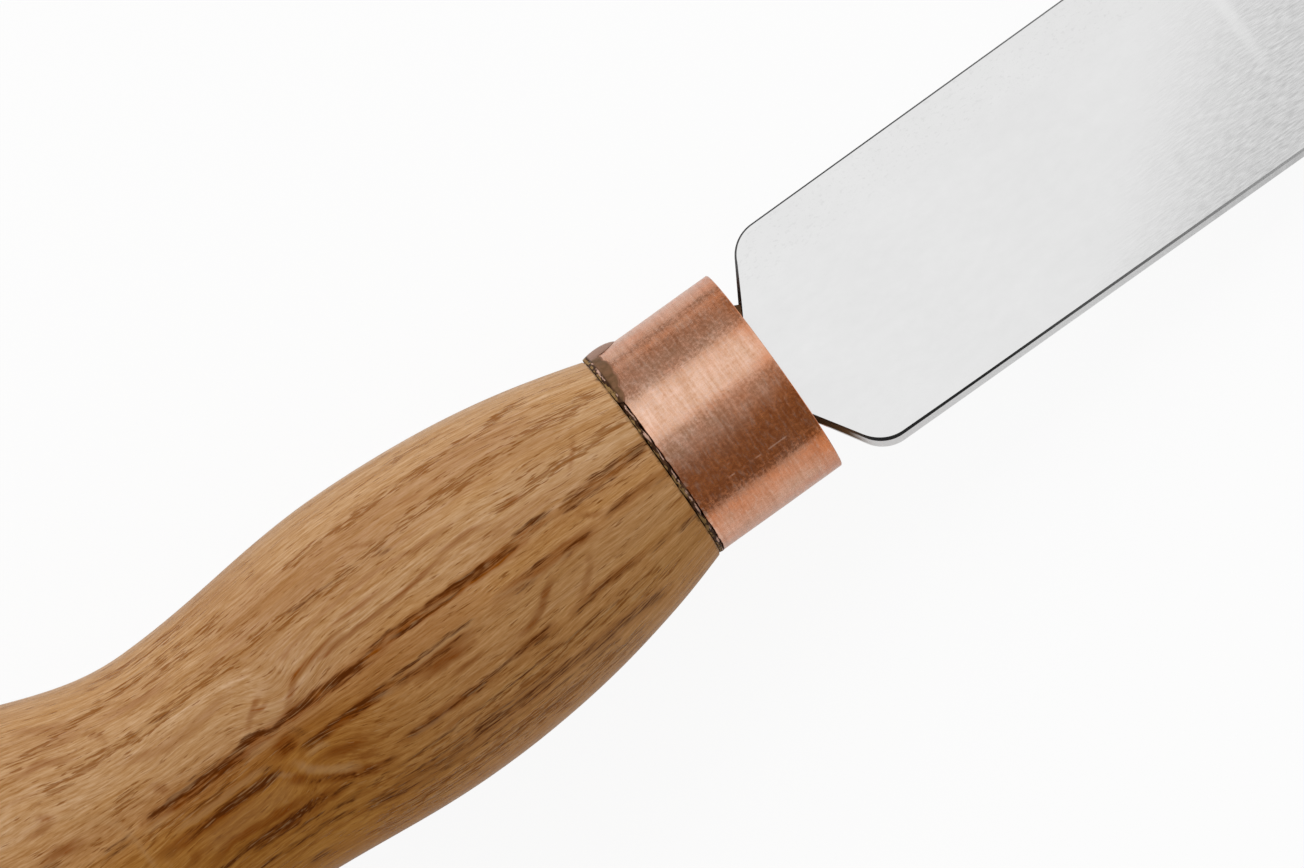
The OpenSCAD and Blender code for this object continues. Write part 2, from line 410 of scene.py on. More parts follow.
def make_blade():
    """Forges a bar with a tang, breaks its long edges, then grinds the bevel and the cutting edge."""
    stations = blade_stations()
    blade = draw_outline("steel_blade", [(x, half, top) for x, half, top, bottom in stations])
    bpy.ops.mesh.select_all(action="SELECT")
    bpy.ops.mesh.extrude_region_move(TRANSFORM_OT_translate={"value": (0, 0, 0)})
    bpy.ops.transform.resize(value=(1, -1, 1), center_override=(0, 0, 0))
    bpy.ops.mesh.select_all(action="SELECT")
    thickness = 2 * FACE_Z
    bpy.ops.mesh.extrude_region_move(TRANSFORM_OT_translate={"value": (0, 0, -thickness)})
    near = 0.001 * MM
    for x, half, top, bottom in stations:
        drawn = top - thickness
        select_corners(blade, lambda place: abs(place.x - x) < near and abs(place.z - drawn) < near)
        bpy.ops.transform.translate(value=(0, 0, bottom - drawn))
    merge_and_face_outwards()

    break_long_edges(blade)
    grind = Vector((EDGE_Z - BEVEL_Z, 0, BEVEL_X - EDGE_X))
    saw_off((BEVEL_X, 0, BEVEL_Z), -grind.normalized())
    saw_off((EDGE_X, 0, 0), (1, 0, 0))
    merge_and_face_outwards()
    bpy.ops.object.mode_set(mode="OBJECT")
    steep, nearly_level = 0.5, 0.9
    filed = blade.data.attributes.new(name="filed", type="FLOAT", domain="FACE")
    flank = blade.data.attributes.new(name="flank", type="FLOAT", domain="FACE")
    for face in blade.data.polygons:
        level = abs(face.normal.z)
        filed.data[face.index].value = float(steep < level < nearly_level and face.center.x > RIM_X)
        flank.data[face.index].value = float(level < steep)
    return blade


def break_long_edges(blade):
    """Files a flat on the forging's long edges in front of the rim, broader at the neck and shoulders."""
    at_neck, under_neck, at_shoulder, narrow = 0.6 * MM, 0.13 * MM, 0.27 * MM, 0.135 * MM
    upper_fade, lower_fade = 2.4 * MM, 7 * MM
    near = 0.01 * MM

    def flat_width(place):
        if place.y > 0:
            return at_neck + (narrow - at_neck) * min((place.x - NECK_X) / upper_fade, 1)
        if place.x < CORNER_X:
            return under_neck + (at_shoulder - under_neck) * (place.x - RIM_X) / (CORNER_X - RIM_X)
        return at_shoulder + (narrow - at_shoulder) * min((place.x - CORNER_X) / lower_fade, 1)

    bpy.ops.object.mode_set(mode="OBJECT")
    corners = blade.data.vertices
    weights = blade.data.attributes.new(name="bevel_weight_edge", type="FLOAT", domain="EDGE")
    for edge in blade.data.edges:
        first, second = (corners[i].co for i in edge.vertices)
        runs_along = abs(first.x - second.x) > near and first.y * second.y > 0
        if runs_along and min(first.x, second.x) > RIM_X - near:
            weights.data[edge.index].value = min(flat_width((first + second) / 2) / at_neck, 1)
    apply_modifier(
        blade, "BEVEL", width=at_neck, segments=1, limit_method="WEIGHT", offset_type="OFFSET",
        use_clamp_overlap=False,
    )
    bpy.ops.object.mode_set(mode="EDIT")


def make_bedding(blade):
    """The resin round the tang, hollow in the ferrule's mouth, with a fillet at each side of the neck."""
    skin = BORE_R - BOND_GAP
    column = HOLE_R - BOND_GAP
    tenon_end = TENON_X + BOND_GAP
    brim_x = RIM_X - MOUTH_DROP
    hollow, hollow_skew = 0.35 * MM, 0.6
    dip_steps = 16
    profile = [(DRILL_X + BOND_GAP, 0), (HOLE_X, column), (tenon_end, column), (tenon_end, skin)]
    for step in range(dip_steps + 1):
        share = step / dip_steps
        dip = hollow * math.sin(math.pi * share ** hollow_skew)
        profile.append((brim_x - dip, skin * (1 - share)))
    bedding = turn_on_axis("tang_resin", profile, segments=192)
    combine(bedding, neck_fillet(), "UNION")
    pick(blade)
    bpy.ops.object.duplicate()
    cavity = bpy.context.object
    apply_modifier(cavity, "DISPLACE", strength=BOND_GAP, mid_level=0.0)
    combine(bedding, cavity, "DIFFERENCE")
    return bedding


def neck_fillet():
    """A hollow cone of resin that climbs the neck, cut down to the neck's two narrow sides."""
    foot_w, climb, lip = 0.9 * MM, 0.9 * MM, 0.45 * MM
    upwards, sunk = 0.35 * MM, 0.6 * MM
    hollowness = 1.5
    sunk_x = RIM_X - MOUTH_DROP - sunk
    steps = 10
    profile = [(sunk_x, 0), (sunk_x, NECK_HALF + foot_w)]
    for step in range(steps + 1):
        share = step / steps
        x = RIM_X - MOUTH_DROP + (MOUTH_DROP + climb) * share
        profile.append((x, NECK_HALF + lip + (foot_w - lip) * (1 - share ** hollowness)))
    profile.append((RIM_X + climb, 0))
    fillet = turn_on_axis("neck_fillet", profile, segments=160)
    for side in (1, -1):
        saw_off((0, 0, side * TANG_HALF_T), (0, 0, side))
    bpy.ops.mesh.select_all(action="SELECT")
    bpy.ops.transform.translate(value=(0, upwards, 0))
    bpy.ops.object.mode_set(mode="OBJECT")
    return fillet


class Finish:
    """One procedural material, built node by node: a socket as an input is linked, a value is set."""

    def __init__(self, name):
        self.material = bpy.data.materials.new(name)
        self.material.use_nodes = True
        self.tree = self.material.node_tree
        self.shader = next(n for n in self.tree.nodes if n.type == "BSDF_PRINCIPLED")

    def feed(self, socket, value):
        if isinstance(value, bpy.types.NodeSocket):
            self.tree.links.new(value, socket)
        else:
            socket.default_value = value

    def node(self, kind, inputs, **settings):
        made = self.tree.nodes.new("ShaderNode" + kind)
        for setting, value in settings.items():
            setattr(made, setting, value)
        for socket, value in inputs.items():
            self.feed(made.inputs[socket], value)
        return made

    def maths(self, operation, *values):
        return self.node("Math", dict(enumerate(values)), operation=operation).outputs[0]

    def times(self, first, *others):
        """The product of two or more values."""
        for other in others:
            first = self.maths("MULTIPLY", first, other)
        return first

    def plus(self, base, value, gain):
        """The base, with a value times its gain added to it."""
        return self.maths("MULTIPLY_ADD", value, gain, base)

    def less(self, value, taken):
        """The value, with another taken from it."""
        return self.maths("SUBTRACT", value, taken)

    def length(self, across, up):
        """The length of a line that goes this far across and this far up."""
        return self.maths("SQRT", self.maths("ADD", self.times(across, across), self.times(up, up)))

    def millimetres(self):
        """The place on the piece, in millimetres."""
        place = self.node("TexCoord", {}).outputs["Object"]
        return self.node("VectorMath", {0: place, "Scale": 1 / MM}, operation="SCALE").outputs[0]

    def split(self, vector):
        return self.node("SeparateXYZ", {0: vector}).outputs

    def join(self, x, y, z):
        return self.node("CombineXYZ", {0: x, 1: y, 2: z}).outputs[0]

    def noise(self, vector, per_mm, detail=2.0, rough=0.5):
        """Noise with this many features per millimetre, given once or for each direction."""
        if isinstance(per_mm, float):
            per_mm = (per_mm, per_mm, per_mm)
        stretched = self.node("VectorMath", {0: vector, 1: per_mm}, operation="MULTIPLY").outputs[0]
        sockets = {"Vector": stretched, "Scale": 1.0, "Detail": detail, "Roughness": rough}
        return self.node("TexNoise", sockets).outputs["Fac"]

    def rise(self, value, low, high):
        """Runs smoothly from 0 at low to 1 at high; low may be the larger."""
        sockets = {"Value": value, "From Min": low, "From Max": high}
        return self.node("MapRange", sockets, interpolation_type="SMOOTHSTEP").outputs[0]

    def centred(self, noise):
        """Noise about zero instead of about a half."""
        return self.less(noise, 0.5)

    def varied(self, base, noise, gain):
        """A base that noise raises and lowers."""
        return self.plus(base, self.centred(noise), gain)

    def blend(self, share, colour, other, mode="MIX"):
        sockets = {0: share, 6: colour, 7: other}
        return self.node("Mix", sockets, data_type="RGBA", blend_type=mode).outputs[2]

    def shaded(self, colour, shade, powers):
        """A colour times shade, raised to a power of its own in red, green and blue."""
        tint = self.join(*(self.maths("POWER", shade, power) for power in powers))
        return self.blend(1.0, colour, tint, "MULTIPLY")

    def painted(self, name):
        """A value that was painted on the piece's vertices or faces."""
        return self.node("Attribute", {}, attribute_name=name).outputs["Fac"]

    def bump(self, height, depth):
        """Relief of this depth in metres from a height between 0 and 1."""
        made = self.node("Bump", {"Height": height, "Distance": depth, "Strength": 1.0})
        self.dress({"Normal": made.outputs[0]})

    def dress(self, inputs):
        """Feeds the shader's own sockets."""
        for socket, value in inputs.items():
            self.feed(self.shader.inputs[socket], value)

    def show(self, surface):
        """Shows this surface in place of the plain shader."""
        output = next(n for n in self.tree.nodes if n.type == "OUTPUT_MATERIAL")
        self.feed(output.inputs["Surface"], surface)


def rgb(red, green, blue):
    return (red, green, blue, 1.0)


# Strokes of figure in the wood on its photographed side, painted along the grain.
# Each has its strength, its half width and its points, in millimetres along the axis from the butt
# and across the face.
DARK_STROKES = [
    (0.45, 0.14, [(50.4, 0.3), (51.5, 0.44), (53.5, 0.46), (56, 0.5)]),
    (0.8, 0.2, [(48.7, 0.1), (50.3, 0.05), (52, 0.02), (53.5, 0.08), (55.5, 0.08), (57.2, 0.2)]),
    (1.0, 0.24, [(56.2, 0.12), (57.6, 0.27), (58.6, 0.3)]),
    (0.8, 0.2, [(57.2, 0.42), (58.3, 0.58), (59, 0.45), (59.6, 0.1), (60.3, -0.22)]),
    (0.45, 0.3, [(51.4, -0.3), (54, -0.35), (57.4, -0.3)]),
    (0.4, 0.16, [(48.2, -0.35), (49.6, -0.25), (51.5, -0.3)]),
    (0.75, 0.2, [(59.8, -0.22), (61, 0.1), (62, 0.25)]),
    (0.95, 0.22, [(61.3, 0.2), (62.5, 0.15), (64.2, 0.1)]),
    (0.5, 0.14, [(62.6, 0.42), (66, 0.46), (69.4, 0.5)]),
    (0.5, 0.14, [(63.4, 0.05), (65, -0.12), (66.5, -0.2), (68.8, -0.2)]),
    (1.0, 0.23, [(64.9, 0.18), (66.2, 0.17), (67.4, 0.15), (68.8, 0.2)]),
    (0.5, 0.2, [(67.8, 0.05), (69.8, 0)]),
    (0.65, 0.15, [(69, 0.58), (70.5, 0.72), (71.6, 0.84), (74, 0.8), (76, 0.86), (78.4, 0.9)]),
    (0.8, 0.16, [(71.5, 0.27), (73, 0.22), (74.7, 0.27)]),
    (0.5, 0.22, [(74, 0.45), (76, 0.4), (78, 0.5)]),
    (0.85, 0.28, [(77, 0.6), (78.6, 0.72), (79.8, 0.66), (81.2, 0.7)]),
    (0.6, 0.2, [(80.4, 0.65), (81.6, 0.65), (83.4, 0.6)]),
    (0.45, 0.15, [(83.2, 1.25), (85.6, 1.32)]),
    (0.9, 0.2, [(84.7, 1.33), (85.6, 1.38), (86.9, 1.2)]),
    (0.4, 0.14, [(87.4, 0.5), (90, 0.42), (92.8, 0.52)]),
    (0.45, 0.3, [(87.8, 0.95), (89, 1.1), (90.6, 0.95)]),
    (0.45, 0.22, [(90.4, 1.45), (92, 1.3), (93.8, 1.5)]),
    (0.6, 0.32, [(93.8, 1.1), (96.2, 1.2)]),
    (0.35, 0.3, [(47.6, -3.05), (49.4, -3.1)]),
    (0.65, 0.16, [(49.9, -3.15), (51.5, -3.05), (52.6, -2.85), (53.3, -2.55)]),
    (0.45, 0.14, [(49.9, -2.75), (52, -2.6), (53.3, -2.5), (58.4, -2.45)]),
    (0.9, 0.24, [(52.5, -2.75), (55, -2.82), (56.5, -2.85), (58.8, -2.85)]),
    (0.5, 0.18, [(53.3, -3.1), (55.5, -3.15), (58.3, -3.1)]),
    (0.45, 0.2, [(57.5, -2.0), (58.7, -2.35)]),
    (0.5, 0.15, [(51, -1.58), (53, -1.62), (55.6, -1.5)]),
    (0.55, 0.3, [(61.3, -0.8), (61.8, -1.4), (62.1, -1.9)]),
    (0.5, 0.3, [(59.4, -1.7), (60.3, -1.75), (61.1, -1.55)]),
    (0.8, 0.25, [(61.1, -2.5), (62.6, -2.55), (64, -2.5)]),
    (0.6, 0.14, [(63.2, -2.25), (65, -2.2), (67, -2.3), (69.6, -2.15)]),
    (0.45, 0.2, [(65.3, -2.65), (67.5, -2.6), (69.2, -2.75)]),
    (0.65, 0.15, [(69, -2.15), (71.2, -2.08), (73.8, -2.05)]),
    (0.65, 0.15, [(73.2, -2), (75.2, -1.98), (77.4, -2.03)]),
    (0.42, 0.2, [(80.6, -2.2), (83.4, -2.4)]),
    (0.42, 0.16, [(82, -1.7), (83.4, -1.52), (85.1, -1.55)]),
    (0.45, 0.22, [(85.6, -2.15), (87.2, -1.95), (88.7, -1.85)]),
    (0.45, 0.22, [(90, -1.7), (91.6, -1.4), (93, -1.4), (94.4, -1.25)]),
    (0.4, 0.25, [(94.2, -1.8), (96.2, -1.5)]),
    (0.7, 0.18, [(50, -6.2), (51.4, -6.45), (52.4, -6.3), (53.2, -5.95)]),
    (0.75, 0.28, [(52.6, -6.15), (55, -6.3), (57.5, -6.4), (60.4, -6.4)]),
    (0.45, 0.2, [(53.2, -6.72), (55.6, -6.75), (58.3, -6.7)]),
    (0.5, 0.18, [(59.5, -6.5), (61.4, -6.6), (63, -6.75)]),
    (0.5, 0.14, [(56.7, -7.25), (59, -7.35), (60.5, -7.55), (62.4, -7.9)]),
    (0.4, 0.18, [(59.7, -4.6), (61.2, -5.3), (62.5, -6), (63.9, -6.7), (64.9, -7), (66.6, -7.15)]),
    (0.55, 0.2, [(67.8, -6.4), (69.5, -6.45), (71.2, -6.4)]),
    (0.7, 0.2, [(73.1, -6.4), (74.6, -6.45), (75.9, -6.4)]),
    (0.35, 0.15, [(70.8, -6.5), (73.6, -6.5)]),
    (0.35, 0.15, [(75.4, -6.3), (78.6, -6.25)]),
    (0.55, 0.2, [(78.1, -6.2), (80, -6), (81.9, -5.8)]),
    (0.45, 0.14, [(79.4, -6.4), (82, -6.35)]),
    (0.5, 0.17, [(83.8, -6.3), (85.2, -6.15), (86.2, -5.75), (88, -5.5)]),
    (0.35, 0.2, [(87.6, -5.7), (90.2, -5.8)]),
    (0.4, 0.18, [(91.2, -5.9), (92.6, -5.6), (93.7, -5.55)]),
    (0.4, 0.2, [(93.8, -5.7), (96.2, -5.5)]),
    (0.5, 0.16, [(53, -8), (56.7, -8.1), (59.7, -8.2), (62, -8.75)]),
    (0.58, 0.3, [(62.3, -8.95), (65.5, -9.4), (69.7, -9.6), (72.2, -9.35), (78.4, -9.3)]),
    (0.5, 0.28, [(77.6, -9.3), (81.5, -9.1), (83.8, -9.2), (87.7, -8.85), (90.8, -8.8)]),
    (0.4, 0.13, [(64, -8.8), (68, -8.95), (74, -8.8), (80, -8.7)]),
    (0.4, 0.13, [(66, -10.1), (72, -10.2), (80, -10), (86, -9.7)]),
    (0.5, 0.24, [(56.3, -10), (59, -10)]),
    (0.36, 0.13, [(61, -7.5), (68, -7.95), (76, -7.8), (84, -7.5), (90, -7)]),
    (0.32, 0.12, [(64, -10.8), (74, -11.05), (82, -10.75), (88, -10.1)]),
    (0.42, 0.2, [(69.5, -2.7), (73, -2.78), (76.6, -2.7)]),
    (0.5, 0.3, [(44, -0.4), (46.9, -0.45)]),
    (0.35, 0.26, [(74.2, 6.15), (75.5, 6.1)]),
    (0.4, 0.15, [(50.2, 6.0), (54.7, 5.65)]),
    (0.28, 0.18, [(65.3, 6.5), (71, 6.5), (75.7, 6.75)]),
]
AMBER_STROKES = [
    (0.12, 2.6, [(48, -4.6), (56, -5.4), (62, -5), (67, -6)]),
    (0.3, 0.9, [(50, -1.4), (56, -1.3), (62, -1.2), (66, -1.1)]),
    (0.2, 0.9, [(65, -1.2), (70, -1), (79, -0.9)]),
    (0.24, 1.3, [(60, 7.7), (66, 7.8), (74, 8.2), (84, 8.2), (90, 7.6)]),
    (0.12, 1.2, [(60, 2.5), (66, 1.8)]),
    (0.12, 1.2, [(58, 10.6), (66, 10.8)]),
    (0.13, 1.2, [(61, 4.8), (64, 4.6), (67, 4.2)]),
    (0.13, 1.0, [(81, 2), (86, 1.8), (92, 1.6)]),
    (0.2, 0.9, [(58, 6.2), (66, 6.4), (76, 6.8), (86, 7), (92, 6.6)]),
    (0.85, 0.5, [(48.3, -0.1), (53, -0.2), (57, -0.1), (61, 0)]),
    (0.85, 0.46, [(59.8, 0.1), (65, 0.12), (70.5, 0.2)]),
    (0.85, 0.46, [(68, 0.35), (74, 0.5), (78, 0.6), (84, 0.65)]),
    (0.5, 0.36, [(82.2, 0.8), (87, 1.1)]),
    (0.5, 0.45, [(87.2, 0.9), (92, 1.0), (96.4, 1.1)]),
    (0.8, 0.42, [(47.6, -3), (52, -2.95), (55, -2.85), (59.2, -2.8)]),
    (0.85, 0.4, [(61, -2.55), (65, -2.45), (69.8, -2.5)]),
    (0.65, 0.36, [(69.2, -2.65), (72, -2.75), (76.7, -2.7)]),
    (0.6, 0.4, [(79.6, -1.9), (84.8, -1.8), (89, -1.8)]),
    (0.8, 0.3, [(85.3, -2.15), (87.4, -1.95), (88.9, -1.85)]),
    (0.55, 0.35, [(89.8, -1.5), (94.4, -1.4), (96.4, -1.5)]),
    (0.75, 0.46, [(52.6, -6.35), (56, -6.4), (60, -6.5), (62.6, -6.6)]),
    (0.7, 0.3, [(67.6, -6.4), (72, -6.45), (76.4, -6.4)]),
    (0.75, 0.3, [(78, -6.1), (82.2, -5.9)]),
    (0.6, 0.28, [(83.7, -6.1), (87, -5.6), (90.8, -5.6)]),
    (0.75, 0.34, [(59.6, -4.5), (62.5, -6), (64.9, -7), (66.7, -7.15)]),
    (0.8, 0.3, [(50.2, -5.75), (51.7, -5.3), (53, -5.1), (55.1, -5.3), (57, -5.45), (59.7, -5.75)]),
    (0.5, 0.4, [(50.2, -4), (49.4, -4.9)]),
    (0.3, 0.35, [(50, -3.7), (53, -3.5), (57, -3.5)]),
    (0.95, 0.65, [(59, -1.6), (60.2, -1.5), (61.4, -1.4)]),
    (0.75, 0.45, [(58.9, -3.6), (59.6, -4.2), (60.1, -4.7)]),
    (0.7, 0.5, [(61.7, -4.0), (64, -4.35), (66, -4.9)]),
    (0.5, 0.3, [(64, -5.6), (65.8, -5.85)]),
    (0.5, 0.2, [(66, -5.2), (68, -5.3)]),
    (0.72, 0.42, [(71.4, -3.3), (73.7, -3.35), (76.2, -3.5)]),
    (0.6, 0.17, [(73.7, -4.55), (76.5, -4.6)]),
    (0.4, 0.2, [(70, -7.6), (75, -7.65)]),
    (0.3, 0.5, [(62, -9), (70, -9.55), (78, -9.3), (84, -9.15), (91, -8.8)]),
    (0.3, 0.2, [(79.6, -7.45), (82.2, -7.2)]),
    (0.65, 0.22, [(79.6, -5.1), (81, -4.9), (82, -4.5)]),
    (0.8, 0.26, [(81.3, -4.8), (82.3, -4.25), (82.9, -3.7), (84, -3)]),
    (0.45, 0.25, [(84.7, -5.6), (86.1, -4.7), (87, -3.9), (87.4, -3.2)]),
    (0.5, 0.2, [(88.4, -0.2), (89.3, -0.8), (90.3, -1.3)]),
    (0.5, 0.17, [(89.9, 2.8), (90.7, 3.7), (91.6, 4.7)]),
    (0.55, 0.17, [(72.2, 8.25), (73.3, 7.7), (74.3, 7.25), (75.2, 7.15)]),
    (0.4, 0.25, [(77.5, 8.2), (80.2, 8.1)]),
    (0.62, 0.26, [(61.6, 0.4), (62.2, 0.8), (62.9, 1.5), (63.9, 2.25), (65, 2.6), (67, 2.9), (68.6, 3)]),
    (0.6, 0.22, [(58.7, 1.2), (59.2, 1.65), (59.8, 2.1), (60.7, 2.75)]),
    (0.55, 0.18, [(59, 1.6), (60, 1.85), (61.2, 2)]),
    (0.55, 0.17, [(64.6, 2.2), (68, 2.45), (71.3, 2.55), (74.7, 2.72), (78.6, 3.2)]),
    (0.5, 0.24, [(77.9, 3.5), (80.8, 3.5), (82.5, 3.2)]),
    (0.25, 0.35, [(81.6, 2.5), (84, 1.8)]),
    (0.55, 0.2, [(84, 3.65), (86, 3.4)]),
    (0.35, 0.2, [
        (62.6, 3.8), (64.7, 4.3), (66.7, 4.7), (68.7, 5), (71.3, 5.2), (73.5, 5.2), (76.3, 5), (80.2, 4.75),
    ]),
    (0.4, 0.24, [(67.8, 3.6), (69.7, 3.8), (73.4, 3.85)]),
    (0.3, 0.35, [(49.3, 4.7), (51, 4), (53.3, 3.6), (56.7, 3.8), (59.2, 4.3)]),
    (0.5, 0.3, [(50.3, 1.8), (50.8, 1.2), (51, 0.7)]),
    (0.5, 0.25, [(40, 4.1), (42.8, 4)]),
    (0.7, 0.4, [(40, 1.8), (41.7, 2), (42.5, 1.7), (43.4, 1.6)]),
    (0.5, 0.25, [(41.8, 5), (42.8, 4.2)]),
    (0.4, 0.25, [(42, 8.3), (44.2, 8.2), (46.7, 7)]),
    (0.4, 0.25, [(43.8, 11.25), (45.8, 10.3), (47.8, 9.5)]),
    (0.3, 0.6, [(45.5, 9), (48.5, 9)]),
    (0.25, 0.25, [(48.3, 8.3), (49.3, 7), (49.2, 6.2)]),
    (0.35, 0.25, [(50, 8.3), (51.7, 7.9), (53.8, 7.6), (56, 7.7)]),
    (0.35, 0.2, [(64.3, 10), (66.8, 10.2)]),
]
PORE_STROKES = [
    (0.9, 0.5, [(42, 6.1), (47.2, 6), (50.5, 5.75), (55, 5.75), (58, 6.1), (62, 6.2)]),
    (0.9, 0.45, [(62, 6.5), (67.3, 6.3), (71.3, 6.55), (76, 6.75)]),
    (0.9, 0.5, [(76, 6.9), (80.2, 7.1), (82.7, 7), (88.7, 7.1), (92, 6.7), (95.5, 6.5)]),
    (0.6, 0.3, [(64.7, 5.8), (70.3, 5.8)]),
    (0.9, 0.4, [(83, 3.8), (85.8, 3.5), (89.2, 3.7), (92, 3.6), (95.5, 3.6)]),
    (0.7, 0.4, [(41.7, 9.3), (45, 9.1), (49.5, 9.2), (53, 9.3), (62, 9.3)]),
    (0.6, 0.3, [(54.2, 8.5), (58.3, 8.5), (62, 8.8)]),
    (0.8, 0.3, [(67.3, 9.4), (73, 9.5), (78, 9.6), (84, 9.5), (91, 9.3)]),
    (0.6, 0.35, [(50.3, 10.75), (53.3, 10.4), (56.7, 10.3), (60, 10.6)]),
    (0.7, 0.3, [(79, 11.4), (83, 11.3)]),
    (0.9, 0.5, [(46.8, 2.2), (48.5, 2.4), (49.5, 2.2)]),
    (0.7, 0.5, [(87.5, 1.0), (92, 1.1), (96, 1.1)]),
    (0.6, 0.5, [(82.5, 0.9), (87, 0.9)]),
    (0.6, 0.6, [(66, -8.4), (74, -8.2), (84, -7.8), (92, -7.4)]),
    (0.8, 0.7, [(62, -10.9), (72, -11.2), (82, -10.9), (88, -10.3)]),
    (0.6, 0.6, [(47, -1.4), (50, -1.2), (59, -1)]),
]
PALE_STROKES = [
    (0.45, 0.26, [(43, 4.2), (44.5, 3.1), (45.5, 2.3), (46.5, 0.9), (46.95, -1), (46.9, -3.5)]),
    (0.7, 0.4, [(60.2, 0.5), (60.9, 1.1), (61.5, 1.8)]),
    (0.2, 0.7, [(51, -4.4), (55, -4.2), (59, -4.5)]),
    (0.7, 0.3, [(60.1, -3.0), (60.7, -4.1), (62, -5), (63.8, -6)]),
    (0.6, 0.14, [(50.3, 0.24), (53.3, 0.28)]),
    (0.6, 0.3, [(57.3, -0.4), (58.6, -0.5), (59.8, -0.7)]),
    (0.6, 0.22, [(47.8, -0.8), (49, -0.7), (50.2, -0.6)]),
    (0.5, 0.25, [(49.8, -2.0), (53, -2.05), (58, -1.95)]),
    (0.6, 0.2, [(58.3, -2.9), (58.9, -3.3), (59.4, -3.6)]),
    (0.7, 0.2, [(61.1, -3.05), (62, -3.1), (63, -3.25)]),
    (0.6, 0.16, [(70.4, 0.4), (71.6, 0.42), (72.2, 0.35)]),
    (0.5, 0.14, [(74.6, 0.62), (77.6, 0.3)]),
    (0.6, 0.14, [(80.4, 0.68), (80.9, 0.72)]),
    (0.6, 0.15, [(84.4, 0.35), (85.6, 0.5), (86.9, 0.7)]),
    (0.6, 0.15, [(67.6, -2.5), (69, -2.9), (69.7, -2.9)]),
    (0.7, 0.14, [(71, -2.4), (73.4, -2.32), (75, -2.2), (77.6, -2.2)]),
    (0.6, 0.15, [(79.6, -1.75), (82, -2.0), (84, -2.4)]),
    (0.6, 0.14, [(83.3, -2.6), (85, -2.35), (86.7, -2.1)]),
    (0.5, 0.16, [(91.1, -6), (91.6, -6.2)]),
    (0.5, 0.14, [(68.4, -6.62), (72, -6.7)]),
    (0.2, 1.2, [(80, -3.6), (88, -3.4), (95, -3.4)]),
    (0.25, 1.5, [(43, 11.4), (50, 11)]),
    (0.2, 1.2, [(80, -10.6), (90, -9.8)]),
    (0.2, 1.5, [(50, 2.8), (54, 2.6), (58, 2.6)]),
]
KNOT_X, KNOT_ACROSS = 60.8, -1.0


def stroke_cover(strokes, along, across, fade_len, widen):
    """How strongly strokes cover each place, from 0 to 1; they waver as fibres do and fade at both ends."""
    waver = 0.06 * np.sin(1.9 * along + 1.3 * across) + 0.04 * np.sin(4.3 * along - 2.9 * across + 1)
    across = across + waver * np.sin(0.9 * along + 0.4 * across)
    cover = np.zeros_like(along)
    for strength, half_width, points in strokes:
        nearest = np.full_like(along, np.inf)
        reached = np.zeros_like(along)
        length = 0.0
        for (x0, y0), (x1, y1) in zip(points, points[1:]):
            run = math.hypot(x1 - x0, y1 - y0)
            share = np.clip(((along - x0) * (x1 - x0) + (across - y0) * (y1 - y0)) / run ** 2, 0, 1)
            gap = np.hypot(along - x0 - share * (x1 - x0), across - y0 - share * (y1 - y0))
            reached = np.where(gap < nearest, length + share * run, reached)
            nearest = np.minimum(nearest, gap)
            length += run
        from_end = np.minimum(reached, length - reached) / min(fade_len, length / 3)
        fade = 0.35 + 0.65 * np.clip(from_end, 0, 1)
        inside = np.clip(1.5 - nearest / (half_width * widen), 0, 1)
        cover = np.maximum(cover, strength * fade * inside * inside * (3 - 2 * inside))
    return cover


def grown_strokes(seed, count, widest):
    """Strokes along the grain for the sides that the listed ones don't reach."""
    last_start = 90
    draw = np.random.default_rng(seed)
    strokes = []
    for _ in range(count):
        x = draw.uniform(0, last_start)
        across = draw.uniform(-3.1, 3.1) * BULB_R / MM
        length = draw.uniform(6, 26)
        bend = draw.uniform(-0.4, 0.4, 3)
        points = [(x, across), (x + length / 2, across + bend[0]), (x + length, across + bend[1])]
        strokes.append((draw.uniform(0.3, 0.8), draw.uniform(0.35, widest), points))
    return strokes


def vertex_places(piece):
    """The places of a piece's vertices, as an array of millimetres for each direction."""
    places = np.empty(len(piece.data.vertices) * 3)
    piece.data.vertices.foreach_get("co", places)
    return places.reshape(-1, 3).T / MM


def store_painted(piece, name, values):
    """Keeps one painted value for each vertex of a piece."""
    layer = piece.data.attributes.new(name=name, type="FLOAT", domain="POINT")
    layer.data.foreach_set("value", np.ascontiguousarray(values, dtype=np.float32))


